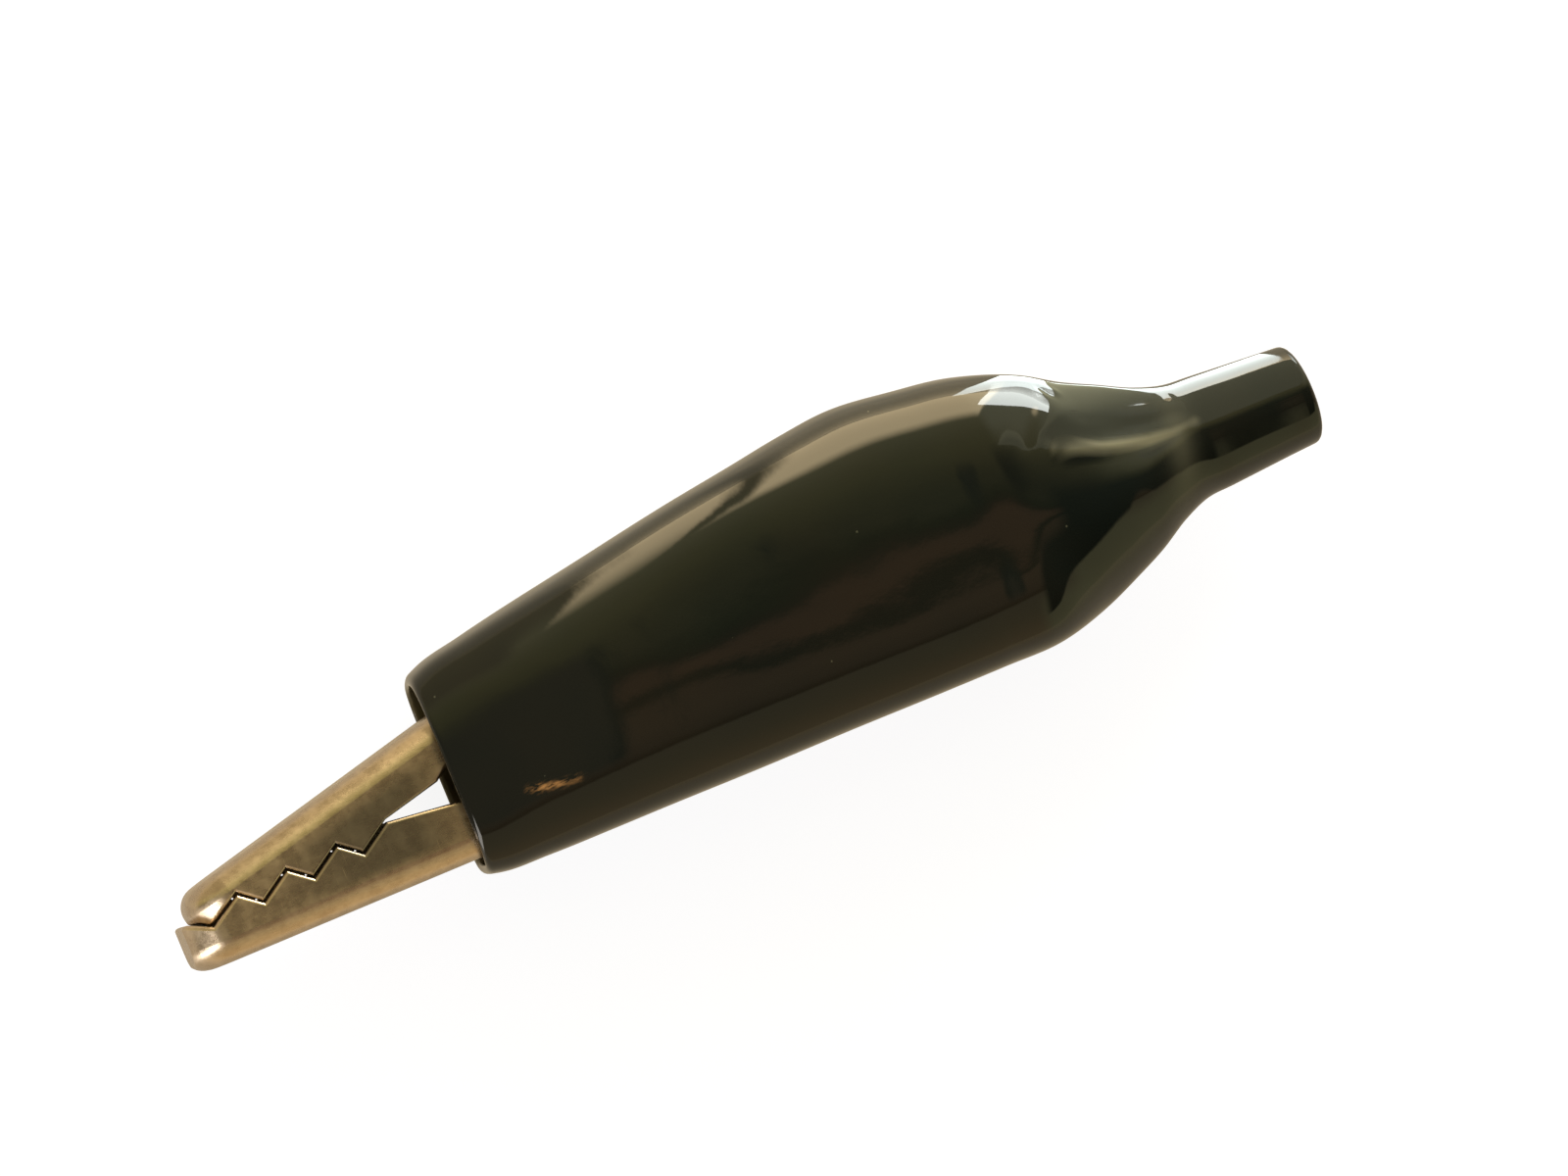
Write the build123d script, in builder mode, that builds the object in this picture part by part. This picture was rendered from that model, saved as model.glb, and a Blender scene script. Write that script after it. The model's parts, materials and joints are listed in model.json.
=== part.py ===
from build123d import *
from math import acos, atan2, ceil, cos, pi, radians, sin, tan
import os

os.makedirs("parts", exist_ok=True)

# Small alligator clip lying on its side. Millimetres.
# X runs from the jaw tips (-X) to the boot's tail (+X), Y from the lower jaw (-Y) to the upper jaw
# (+Y), and Z is the clip's width and the pivot's direction. The origin is under the middle of the
# part, on the surface that the boot's side rests on.
#
# Side-view sizes below are taken from the front of the lower jaw (x) and its underside (y).

# --- Driving dimensions -----------------------------------------------------------------------

sheet = 0.5                     # steel sheet of both jaws
jaw_width = 5.0                 # over the side walls
fold_radius = 0.9               # outside of the fold between back or floor and side walls
nose_radius = 1.8               # corner of the nose, seen from above
nose_flat = 0.2                 # cut off the lower jaw's rounded nose, which leaves a flat front
edge_radius = 0.14              # rolled-over outer edge of the stamped teeth
running_gap = 0.05              # radial clearance of the turning jaw on its rivet
side_gap = 0.08                 # between the two jaws' ears

# Saw teeth: the lower jaw's tips lie on a line that climbs gently away from the nose
first_tooth_x = 2.42
first_tooth_y = 2.36
tooth_count = 4
tooth_pitch = 2.16
tooth_rise = 1.28               # long flank, on the nose side of a tip
tooth_depth = 0.76
tooth_line_slope = 3.3          # degrees
tooth_corner = 0.1              # rounding of tips and roots
tooth_gap = 0.1                 # between the closed rows of teeth
nose_seam_y = 1.98              # where the jaws meet at the very front

# Lower jaw
lower_eye_x = 13.0              # end of the open eye behind the teeth
lower_eye_y = 2.26
flare_start_x = 14.5            # the walls spread here to take the upper jaw between the ears
flare_end_x = 16.5
flare_corner = 1.5
lower_ear_margin = 1.2          # steel round the rivet's hole
tail_start_x = 23.8             # the floor steps up here, to leave room for the screw's tip
tail_step_length = 2.0
tail_step_height = 1.0
tail_end_x = 35.8
tail_width = 5.4
tail_corner = 1.0
flange_height = 0.6
flange_end_x = 33.5

# Upper jaw and its lever
upper_nose_x = 0.25
back_x = 1.6                    # a point of the straight back
back_y = 3.35
back_slope = 13.67              # degrees
upper_eye_x = 11.35             # the eye's upper edge turns up here
upper_eye_y = 3.42
arch_x = 12.5                   # and levels out here
arch_y = 4.25
upper_ear_margin = 1.1
lever_bend_x = 27.5             # the back flattens here into the squeeze lever
lever_crest_x = 31.9
lever_crest_rise = 0.56         # crest over the bend
lever_end_x = 36.8
lever_end_drop = 0.02           # end under the bend
lever_flange = 0.9              # height of the lever's side flanges under its back
lever_end_flange = 0.3

# Pivot
pivot_x = 19.6
pivot_y = 3.9
rivet_radius = 1.1
rivet_bore = 0.75
rivet_head_overhang = 0.6
rivet_head_thickness = 0.22

# Spring
wire = 0.6
coil_gap = 0.15                 # between the coil and the rivet
turn_gap = 0.65                 # between turns, in the middle of the coil
full_turns = 2
lower_leg_x = 26.8              # free ends of the two legs
upper_leg_x = 25.3
seat_gap = 0.03                 # between a leg and the sheet that it presses on

# Terminal screw
screw_x = 29.6
screw_radius = 1.25
screw_tip_y = 0.0               # flush with the lower jaw's underside
screw_head_radius = 2.0
screw_head_height = 1.1
screw_slot_width = 0.45
screw_slot_depth = 0.6
thread_gap = 0.05
head_gap = 0.05

# Boot
boot_start_x = 12.0
boot_wall = 0.7
floor_gap = 0.3                 # between the boot's inside and the lower jaw's underside
lever_gap = 0.19                # between the lever's crest and the boot's inside
ear_clearance = 0.2             # between the rivet's heads and the boot's inside
mouth_side_gap = 0.3            # round the jaws in the mouth
mouth_floor_gap = 0.15
mouth_top_gap = 1.07
boot_corner = 2.6               # rounding of the sleeve's long edges
mouth_corner = 2.2
shoulder_x = 15.0               # the sleeve has its full width from here
rear_length = 8.1               # from the lever's end to the root of the tail
tail_length = 5.4
tail_bore_radius = 1.5
tail_axis_y = 4.5
tail_root_radius = 2.5
tail_tip_radius = 2.08

# --- Sizes that follow ------------------------------------------------------------------------


def back_height(x, depth=0.0):
    """Height of the upper jaw's straight back at x, or of a line that far under its surface."""
    slope = radians(back_slope)
    return back_y + (x - back_x) * tan(slope) - depth / cos(slope)


half_width = jaw_width / 2
ear_half_width = half_width + side_gap + sheet
lower_ear_radius = rivet_radius + lower_ear_margin
upper_ear_radius = rivet_radius + upper_ear_margin
tail_step_end_x = tail_start_x + tail_step_length
tail_top_y = tail_step_height + sheet
lever_bend_y = back_height(lever_bend_x)
lever_crest_y = lever_bend_y + lever_crest_rise
coil_radius = rivet_radius + coil_gap + wire / 2
coil_pitch = wire + turn_gap
boot_low_y = -floor_gap - boot_wall
boot_high_y = lever_crest_y + lever_gap + boot_wall
boot_height = boot_high_y - boot_low_y
boot_width = 2 * (ear_half_width + rivet_head_thickness + ear_clearance + boot_wall)
mouth_width = jaw_width + 2 * (mouth_side_gap + boot_wall)
tail_root_x = lever_end_x + rear_length
boot_end_x = tail_root_x + tail_length

# --- Planes -----------------------------------------------------------------------------------

side = Plane(
    origin=(-boot_end_x / 2, -boot_low_y - boot_height / 2, boot_width / 2),
    x_dir=(1, 0, 0),
    z_dir=(0, 0, 1),
)


def at(x, y):
    """A plane parallel to the side view, with its origin at a side-view point."""
    return Plane(origin=side.from_local_coords((x, y, 0)), x_dir=(1, 0, 0), z_dir=(0, 0, 1))


def across(x):
    """A cross-section plane at station x, its own y measured as in the side view."""
    return Plane(origin=side.from_local_coords((x, 0, 0)), x_dir=(0, 0, -1), z_dir=(1, 0, 0))


def above(x, y, tilt=0.0):
    """A plan plane through a side-view point, looking along the jaw's back or floor."""
    slope = radians(tilt)
    return Plane(
        origin=side.from_local_coords((x, y, 0)),
        x_dir=(cos(slope), sin(slope), 0),
        z_dir=(-sin(slope), cos(slope), 0),
    )


# --- Shared outlines --------------------------------------------------------------------------

cut_width = 2 * jaw_width       # wide enough to cut through both walls
past_end = 2.0                  # how far a cutting shape runs past the piece
tolerance = 0.001


def tooth_line(shift):
    """The zigzag from the front seam to the last tip, moved up by shift."""
    climb = tan(radians(tooth_line_slope))
    points = [(-past_end, nose_seam_y + shift), (upper_nose_x, nose_seam_y + shift)]
    for k in range(tooth_count):
        tip_x = first_tooth_x + k * tooth_pitch
        tip_y = first_tooth_y + k * tooth_pitch * climb
        root_x = tip_x - tooth_rise
        root_y = tip_y - tooth_rise * climb - tooth_depth
        points += [(root_x, root_y + shift), (tip_x, tip_y + shift)]
    return points


def on_points(vertices, points):
    """The vertices of a side-view sketch that lie on one of the points."""
    return [
        v for v in vertices
        if any((side.to_local_coords(Vector(*v)) - Vector(x, y)).length < tolerance for x, y in points)
    ]


def stamped_rim(jaw, outside, end_x):
    """Outer edges that the trimming of the walls left on the jaw, from the nose to end_x."""
    skin = outside.shell()
    cuts = [f for f in jaw.faces() if skin.distance_to(Vertex(*f.center())) > tolerance]
    rim = []
    for edge in ShapeList(e for f in cuts for e in f.edges()):
        points = [edge @ 0.1, edge @ 0.5, edge @ 0.9]
        seen = all(side.to_local_coords(p).X < end_x for p in points)
        if seen and all(skin.distance_to(Vertex(*p)) < tolerance for p in points):
            rim.append(edge)
    return rim


# --- Lower jaw --------------------------------------------------------------------------------


def lower_block(inset):
    """The lower jaw's outside, or the inside of its channel when inset is the sheet."""
    past = past_end if inset else 0.0
    walls = [
        (inset - nose_flat, half_width - inset),
        (flare_start_x, half_width - inset),
        (flare_end_x, ear_half_width - inset),
        (tail_start_x - tail_step_length / 2, ear_half_width - inset),
        (tail_step_end_x, tail_width / 2 - inset),
        (tail_end_x + past, tail_width / 2 - inset),
    ]
    with BuildPart() as block:
        with BuildSketch(above(0, inset)) as plan:
            with BuildLine():
                Polyline(*walls, *[(x, -z) for x, z in reversed(walls)], close=True)
            make_face()
            fillet(plan.vertices().group_by(Axis.X)[0], nose_radius - inset)
            for group in plan.vertices().group_by(Axis.X)[2:-1]:
                fillet(group, flare_corner)
            if not inset:
                fillet(plan.vertices().group_by(Axis.X)[-1], tail_corner)
        extrude(amount=pivot_y + lower_ear_radius)
        fillet(block.faces().sort_by(Axis.Y)[0].edges(), fold_radius - inset)
        with BuildSketch(side):
            with BuildLine():
                Polyline(
                    (inset, inset),
                    (tail_start_x, inset),
                    (tail_step_end_x, inset + tail_step_height),
                    (tail_end_x + 2 * past_end, inset + tail_step_height),
                    (tail_end_x + 2 * past_end, boot_height),
                    (inset, boot_height),
                    close=True,
                )
            make_face()
        extrude(amount=cut_width, both=True, mode=Mode.INTERSECT)
    return block.part


lower_outside = lower_block(0.0)
lower_inside = lower_block(sheet)
lower_teeth = tooth_line(0.0)

with BuildPart() as lower_jaw:
    add(lower_outside)
    add(lower_inside, mode=Mode.SUBTRACT)
    # side view of the walls: teeth, eye, ears and the tail's low flanges
    with BuildSketch(side) as lower_walls:
        with BuildLine():
            Polyline(
                *lower_teeth,
                (lower_eye_x, lower_eye_y),
                (pivot_x - lower_ear_radius, lower_eye_y),
                (pivot_x + lower_ear_radius, tail_top_y + flange_height),
                (flange_end_x, tail_top_y + flange_height),
                (flange_end_x + flange_height, tail_top_y),
                (tail_end_x + past_end, tail_top_y),
                (tail_end_x + past_end, -past_end),
                (-past_end, -past_end),
                close=True,
            )
        make_face()
        fillet(on_points(lower_walls.vertices(), lower_teeth[2:]), tooth_corner)
        with Locations((pivot_x, pivot_y)):
            Circle(lower_ear_radius)
            Rectangle(2 * lower_ear_radius, pivot_y, align=(Align.CENTER, Align.MAX))
    extrude(amount=cut_width, both=True, mode=Mode.INTERSECT)
    fillet(stamped_rim(lower_jaw.part, lower_outside, flare_start_x), edge_radius)
    with BuildSketch(at(pivot_x, pivot_y)):
        Circle(rivet_radius)
    extrude(amount=cut_width, both=True, mode=Mode.SUBTRACT)
    with BuildSketch(above(screw_x, 0)):
        Circle(screw_radius + thread_gap)
    extrude(amount=pivot_y, mode=Mode.SUBTRACT)

lower_jaw.part.label = "lower_jaw"
export_step(lower_jaw.part, "parts/lower_jaw.step")

# --- Upper jaw --------------------------------------------------------------------------------


def upper_block(inset):
    """The upper jaw's outside, or the inside of its channel when inset is the sheet."""
    past = past_end if inset else 0.0
    front = (-past_end, back_height(-past_end, inset))
    bend = (lever_bend_x, back_height(lever_bend_x, inset))
    crest = (lever_crest_x, lever_crest_y - inset)
    end = (lever_end_x + past, lever_bend_y - lever_end_drop - inset - past * tan(radians(back_slope)))
    with BuildPart() as block:
        with BuildSketch(side):
            with BuildLine():
                Line(front, bend)
                ThreePointArc(bend, crest, end)
                Polyline(end, (end[0], -past_end), (-past_end, -past_end), front)
            make_face()
        extrude(amount=half_width - inset, both=True)
        with BuildSketch(above(upper_nose_x, back_height(upper_nose_x), back_slope)) as plan:
            with Locations((inset, 0)):
                Rectangle(2 * boot_end_x, jaw_width - 2 * inset, align=(Align.MIN, Align.CENTER))
            fillet(plan.vertices().group_by(Axis.X)[0], nose_radius - inset)
        extrude(amount=boot_height, both=True, mode=Mode.INTERSECT)
        back, lever = block.faces().filter_by(lambda f: f.normal_at().Y > 0.9).sort_by(Axis.X)
        bend_line = back.edges().sort_by(Axis.X)[-1]
        lever_end = lever.edges().sort_by(Axis.X)[-1]
        rim = [
            e for e in back.edges() + lever.edges()
            if not e.is_same(bend_line) and not e.is_same(lever_end)
        ]
        fillet(rim, fold_radius - inset)
    return block.part


upper_outside = upper_block(0.0)
upper_inside = upper_block(sheet)
upper_teeth = tooth_line(tooth_gap)

with BuildPart() as upper_jaw:
    add(upper_outside)
    add(upper_inside, mode=Mode.SUBTRACT)
    # side view of the walls: teeth, eye, ears and the lever's flanges
    with BuildSketch(side) as upper_walls:
        with BuildLine():
            Polyline(
                *upper_teeth,
                (upper_eye_x, upper_eye_y),
                (arch_x, arch_y),
                (pivot_x - 2 * upper_ear_radius, arch_y),
                (pivot_x - upper_ear_radius, pivot_y),
                (pivot_x + upper_ear_radius, pivot_y),
                (lower_leg_x, back_height(lower_leg_x) - sheet - lever_flange),
                (lever_end_x, lever_bend_y - sheet - lever_end_flange),
                (lever_end_x + past_end, lever_bend_y - sheet - lever_end_flange),
                (lever_end_x + past_end, 2 * boot_height),
                (-past_end, 2 * boot_height),
                close=True,
            )
        make_face()
        fillet(on_points(upper_walls.vertices(), upper_teeth[2:]), tooth_corner)
        with Locations((pivot_x, pivot_y)):
            Circle(upper_ear_radius)
    extrude(amount=cut_width, both=True, mode=Mode.INTERSECT)
    fillet(stamped_rim(upper_jaw.part, upper_outside, flare_start_x), edge_radius)
    with BuildSketch(at(pivot_x, pivot_y)):
        Circle(rivet_radius + running_gap)
    extrude(amount=cut_width, both=True, mode=Mode.SUBTRACT)

upper_jaw.part.label = "upper_jaw"
export_step(upper_jaw.part, "parts/upper_jaw.step")

# --- Pivot rivet ------------------------------------------------------------------------------

with BuildPart() as pivot_rivet:
    with BuildSketch(at(pivot_x, pivot_y)):
        Circle(rivet_radius)
    extrude(amount=ear_half_width, both=True)
    for face_z in (ear_half_width, -ear_half_width - rivet_head_thickness):
        with BuildSketch(at(pivot_x, pivot_y).offset(face_z)):
            Circle(rivet_radius + rivet_head_overhang)
        extrude(amount=rivet_head_thickness)
    with BuildSketch(at(pivot_x, pivot_y)):
        Circle(rivet_bore)
    extrude(amount=cut_width, both=True, mode=Mode.SUBTRACT)

pivot_rivet.part.label = "pivot_rivet"
export_step(pivot_rivet.part, "parts/pivot_rivet.step")

# --- Torsion spring ---------------------------------------------------------------------------
# One wire: a leg that presses on the tail, the coil round the rivet, and a leg that presses up
# under the lever. Seen from +Z the wire goes round clockwise from the lower leg to the upper one.


def tangent_angle(x, y, turn):
    """Angle on the coil, in radians, where a straight leg from (x, y) touches it."""
    dx = x - pivot_x
    dy = y - pivot_y
    return atan2(dy, dx) + turn * acos(coil_radius / (dx * dx + dy * dy) ** 0.5)


lower_leg_y = tail_top_y + wire / 2 + seat_gap
upper_leg_y = back_height(upper_leg_x, sheet + wire / 2 + seat_gap)
start_angle = tangent_angle(lower_leg_x, lower_leg_y, -1)
end_angle = tangent_angle(upper_leg_x, upper_leg_y, 1)
coil_turns = full_turns + ((start_angle - end_angle) / (2 * pi)) % 1
steps = ceil(coil_turns * 4)
step_turns = coil_turns / steps
coil_rise = coil_pitch * step_turns * (steps - 1)


def coil_point(k):
    """The wire's centre after k steps, and its direction. The rise eases in and out at the ends."""
    angle = start_angle - 2 * pi * step_turns * k
    inner = 0 < k < steps
    rise = coil_pitch * step_turns * (k - 0.5) if inner else coil_rise * (k == steps)
    speed = 2 * pi * coil_radius
    x = pivot_x + coil_radius * cos(angle)
    y = pivot_y + coil_radius * sin(angle)
    point = side.from_local_coords(Vector(x, y, rise - coil_rise / 2))
    direction = Vector(speed * sin(angle), -speed * cos(angle), coil_pitch * inner)
    return point, direction.normalized()


def biarc(start, start_direction, end, end_direction):
    """Middle point of the two arcs that join both ends smoothly, and the direction there."""
    chord = end - start
    both = start_direction + end_direction
    a = both.dot(both) - 4
    b = -2 * chord.dot(both)
    c = chord.dot(chord)
    reach = (-b - (b * b - 4 * a * c) ** 0.5) / (2 * a)
    if reach < 0:
        reach = (-b + (b * b - 4 * a * c) ** 0.5) / (2 * a)
    first = start + start_direction * reach
    second = end - end_direction * reach
    return (first + second) * 0.5, (second - first).normalized()


coil = [coil_point(k) for k in range(steps + 1)]
lower_leg_end = side.from_local_coords(Vector(lower_leg_x, lower_leg_y, -coil_rise / 2))
upper_leg_end = side.from_local_coords(Vector(upper_leg_x, upper_leg_y, coil_rise / 2))

with BuildPart() as torsion_spring:
    with BuildLine() as wire_line:
        Line(lower_leg_end, coil[0][0])
        for (start, start_direction), (end, end_direction) in zip(coil, coil[1:]):
            middle, middle_direction = biarc(start, start_direction, end, end_direction)
            TangentArc(start, middle, tangent=start_direction)
            TangentArc(middle, end, tangent=middle_direction)
        Line(coil[-1][0], upper_leg_end)
    spring_path = wire_line.wire()
    with BuildSketch(Plane(origin=spring_path @ 0, z_dir=spring_path % 0)):
        Circle(wire / 2)
    sweep(path=spring_path)

torsion_spring.part.label = "torsion_spring"
export_step(torsion_spring.part, "parts/torsion_spring.step")

sample_count = 600
samples = [spring_path @ (i / sample_count) for i in range(sample_count + 1)]
half_turn = ceil(pi * coil_radius / spring_path.length * sample_count)
least_gap = min((b - a).length for i, a in enumerate(samples) for b in samples[i + half_turn:]) - wire
print(f"torsion spring: {coil_turns:.2f} turns, least gap between turns {least_gap:.3f} mm")

# --- Terminal screw ---------------------------------------------------------------------------

head_y = tail_top_y + head_gap

with BuildPart() as terminal_screw:
    with BuildSketch(above(screw_x, screw_tip_y)):
        Circle(screw_radius)
    extrude(amount=head_y - screw_tip_y)
    with BuildSketch(above(screw_x, head_y)):
        Circle(screw_head_radius)
    extrude(amount=screw_head_height)
    fillet(terminal_screw.edges().group_by(Axis.Y)[-1], screw_head_height / 3)
    with BuildSketch(above(screw_x, head_y + screw_head_height - screw_slot_depth)):
        Rectangle(2 * screw_head_radius, screw_slot_width)
        Rectangle(screw_slot_width, 2 * screw_head_radius)
    extrude(amount=screw_slot_depth, mode=Mode.SUBTRACT)

terminal_screw.part.label = "terminal_screw"
export_step(terminal_screw.part, "parts/terminal_screw.step")

# --- Boot -------------------------------------------------------------------------------------
# The sleeve's sides are flat and its underside straight from the shoulder to the lever's end. Its
# top climbs to the lever's crest, and the rear gathers into a round tail.

# station along the way from the shoulder to the crest (0 to 1), drop of the top under its crest
climb = [(0.0, 2.68), (0.35, 1.6), (0.7, 0.62), (0.88, 0.17), (1.0, 0.0)]
# station from the lever's end to the tail's root (0 to 1), drop, rise of the underside, narrowing
gathering = [
    (0.025, 0.6, 0.0, 0.0),
    (0.2, 1.0, 0.18, 0.3),
    (0.37, 1.8, 0.6, 0.9),
    (0.72, 3.13, 1.8, 2.3),
    (0.9, 3.85, 2.6, 3.1),
]
climb_length = lever_crest_x - shoulder_x
mouth_low_y = -mouth_floor_gap - boot_wall
mouth_high_y = back_height(boot_start_x) + mouth_top_gap + boot_wall

# x, underside, top, width, corner radius
boot_stations = [(boot_start_x, mouth_low_y, mouth_high_y, mouth_width, mouth_corner)]
for share, drop in climb:
    station_x = shoulder_x + share * climb_length
    boot_stations.append((station_x, boot_low_y, boot_high_y - drop, boot_width, boot_corner))
boot_stations.append(
    (lever_crest_x + (1 - climb[-2][0]) * climb_length, boot_low_y, boot_high_y - climb[-2][1],
     boot_width, boot_corner)
)
for share, drop, rise, narrowing in gathering:
    station_x = lever_end_x + share * rear_length
    width = boot_width - narrowing
    corner = min(boot_corner, 0.47 * width)
    boot_stations.append((station_x, boot_low_y + rise, boot_high_y - drop, width, corner))
boot_stations.append(
    (tail_root_x, tail_axis_y - tail_root_radius, tail_axis_y + tail_root_radius,
     2 * tail_root_radius, 0.98 * tail_root_radius)
)


def sleeve(inset):
    """The boot's outside up to the root of its tail, or its inside when inset is the wall."""
    with BuildPart() as tube:
        for x, low, high, width, corner in boot_stations:
            with BuildSketch(across(x)):
                with Locations((0, (low + high) / 2)):
                    RectangleRounded(width - 2 * inset, high - low - 2 * inset, corner - inset)
        loft(ruled=True)
    return tube.part


boot_outside = sleeve(0.0)
boot_inside = sleeve(boot_wall)

with BuildPart() as boot:
    add(boot_outside)
    with BuildSketch(across(tail_root_x)):
        with Locations((0, tail_axis_y)):
            Circle(tail_root_radius)
    with BuildSketch(across(boot_end_x)):
        with Locations((0, tail_axis_y)):
            Circle(tail_tip_radius)
    loft(ruled=True)
    add(boot_inside, mode=Mode.SUBTRACT)
    with BuildSketch(across(tail_root_x)):
        with Locations((0, tail_axis_y)):
            Circle(tail_bore_radius)
    extrude(amount=tail_length, mode=Mode.SUBTRACT)

boot.part.label = "boot"
export_step(boot.part, "parts/boot.step")
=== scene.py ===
import json
from math import acos, atan2, ceil, cos, pi, radians, sin, tan

import bpy
import numpy as np
from mathutils import Matrix, Vector


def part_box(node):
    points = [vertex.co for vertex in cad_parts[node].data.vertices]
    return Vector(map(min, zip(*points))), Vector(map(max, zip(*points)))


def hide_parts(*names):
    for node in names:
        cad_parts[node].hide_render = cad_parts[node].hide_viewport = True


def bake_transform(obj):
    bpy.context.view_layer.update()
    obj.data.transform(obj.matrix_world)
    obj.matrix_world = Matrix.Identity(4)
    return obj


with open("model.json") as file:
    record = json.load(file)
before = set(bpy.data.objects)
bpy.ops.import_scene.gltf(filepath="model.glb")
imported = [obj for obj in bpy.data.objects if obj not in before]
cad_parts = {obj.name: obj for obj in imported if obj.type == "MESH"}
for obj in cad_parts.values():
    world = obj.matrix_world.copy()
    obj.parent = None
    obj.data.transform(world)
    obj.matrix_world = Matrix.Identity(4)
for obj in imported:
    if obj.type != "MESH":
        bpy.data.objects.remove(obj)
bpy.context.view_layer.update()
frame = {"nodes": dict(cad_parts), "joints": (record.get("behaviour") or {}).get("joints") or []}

# Small alligator clip in its black vinyl boot, lying on its side on a white ground.
# The frame is in metres, and so are the places and sizes of the camera, lamps, floor and card.
# The clip's shapes are written in millimetres in its side view: x from the front of the lower jaw,
# y from its underside and z from the clip's middle plane.

MM = 0.001

jaw_low, jaw_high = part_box("lower_jaw")
boot_low, boot_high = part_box("boot")
side_origin = Vector((jaw_low.x, jaw_low.y, (jaw_low.z + jaw_high.z) / 2))


def in_frame(x, y, z):
    """A side-view point in the frame."""
    return side_origin + Vector((x, y, z)) * MM


def side_view(point):
    """A point of the frame in side-view millimetres."""
    return (Vector(point) - side_origin) / MM


# --- Camera -----------------------------------------------------------------------------------
# It looks down on the clip's flat side and leans towards the jaws.

camera_distance = 0.270
camera_lean = radians(11.0)
camera_roll = radians(22.5)
clip_start = 0.01
image_width = 1600
focal_pixels = 6912
sensor_width = 36.0
aim = in_frame(27.51, 5.225, 0.0)


def add_camera():
    back = Vector((-sin(camera_lean), 0, cos(camera_lean)))
    level = Vector((cos(camera_lean), 0, sin(camera_lean)))
    upright = Vector((0, 1, 0))
    right = cos(camera_roll) * level - sin(camera_roll) * upright
    up = sin(camera_roll) * level + cos(camera_roll) * upright
    data = bpy.data.cameras.new("camera")
    data.sensor_width = sensor_width
    data.lens = sensor_width * focal_pixels / image_width
    data.clip_start = clip_start
    camera = bpy.data.objects.new("camera", data)
    turn = Matrix((right, up, back)).transposed().to_4x4()
    camera.matrix_world = Matrix.Translation(aim + back * camera_distance) @ turn
    bpy.context.scene.collection.objects.link(camera)
    bpy.context.scene.camera = camera


# --- Node helpers -----------------------------------------------------------------------------


def new_material(name):
    material = bpy.data.materials.new(name)
    material.use_nodes = True
    tree = material.node_tree
    tree.nodes.clear()
    output = tree.nodes.new("ShaderNodeOutputMaterial")
    return material, tree, output


def feed(tree, socket, value):
    """Links another node's output to an input, or sets the input; a colour is given as rgb."""
    if isinstance(value, bpy.types.NodeSocket):
        tree.links.new(value, socket)
    elif socket.type == "RGBA":
        socket.default_value = (*value, 1.0)
    else:
        socket.default_value = value


def node(tree, kind, inputs=None, **settings):
    """A node with its properties and its inputs set."""
    made = tree.nodes.new(kind)
    for key, value in settings.items():
        setattr(made, key, value)
    for key, value in (inputs or {}).items():
        feed(tree, made.inputs[key], value)
    return made


def ramp(tree, source, stops):
    """A colour ramp over the source; stops are (position, grey or rgb)."""
    made = tree.nodes.new("ShaderNodeValToRGB")
    tree.links.new(source, made.inputs["Fac"])
    elements = made.color_ramp.elements
    while len(elements) < len(stops):
        elements.new(0.5)
    for element, (position, colour) in zip(elements, stops):
        element.position = position
        rgb = colour if isinstance(colour, tuple) else (colour, colour, colour)
        element.color = (*rgb, 1.0)
    return made.outputs["Color"]


def noise(tree, vector, size, detail=3.0, roughness=0.5):
    """Noise whose features are about size millimetres across."""
    scale = 1 / (size * MM)
    made = node(
        tree, "ShaderNodeTexNoise",
        inputs={"Vector": vector, "Scale": scale, "Detail": detail, "Roughness": roughness},
    )
    return made.outputs["Fac"]


def mix(tree, factor, first, second):
    """Goes from the first colour to the second as the factor goes from 0 to 1."""
    made = node(
        tree, "ShaderNodeMix", data_type="RGBA", blend_type="MIX", clamp_factor=False,
        inputs={0: factor, 6: first, 7: second},
    )
    return made.outputs[2]


def calculate(tree, operation, first, second, clamp=False):
    made = node(
        tree, "ShaderNodeMath", operation=operation, use_clamp=clamp, inputs={0: first, 1: second}
    )
    return made.outputs["Value"]


def eased(tree, value, low, high):
    """Rises smoothly from 0 at low to 1 at high."""
    made = node(
        tree, "ShaderNodeMapRange", interpolation_type="SMOOTHSTEP",
        inputs={"Value": value, "From Min": low, "From Max": high},
    )
    return made.outputs["Result"]


def product(tree, first, *others):
    for other in others:
        first = calculate(tree, "MULTIPLY", first, other)
    return first


def inverse(tree, value):
    return calculate(tree, "SUBTRACT", 1.0, value)


def object_place(tree):
    return node(tree, "ShaderNodeTexCoord").outputs["Object"]


def axes(tree, vector):
    """The vector's x, y and z."""
    parts = node(tree, "ShaderNodeSeparateXYZ", inputs={"Vector": vector})
    return [parts.outputs[axis] for axis in "XYZ"]


def stretched(tree, coordinates, scale, degrees=0):
    """Coordinates turned about z and scaled."""
    made = node(
        tree, "ShaderNodeMapping",
        inputs={"Vector": coordinates, "Scale": scale, "Rotation": (0.0, 0.0, radians(degrees))},
    )
    return made.outputs["Vector"]


def bump(tree, height, distance, normal=None):
    made = node(
        tree, "ShaderNodeBump", inputs={"Height": height, "Distance": distance, "Strength": 1.0}
    )
    if normal is not None:
        tree.links.new(normal, made.inputs["Normal"])
    return made.outputs["Normal"]


# --- Materials --------------------------------------------------------------------------------

dark_vinyl = (0.0065, 0.0095, 0.0095)
light_vinyl = (0.0105, 0.0115, 0.0100)
dust_grey = (0.11, 0.12, 0.10)
# painted highlight: the pale colour laid along the ridge and the neck
painted_highlight_grey = (0.50, 0.51, 0.42)
lining_tan = (0.13, 0.12, 0.075)
scuff_brass = (0.62, 0.34, 0.15)
hairline_roughness = (0.32, 0.32, 0.32)
scratch_gold = (0.80, 0.68, 0.50)

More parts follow.
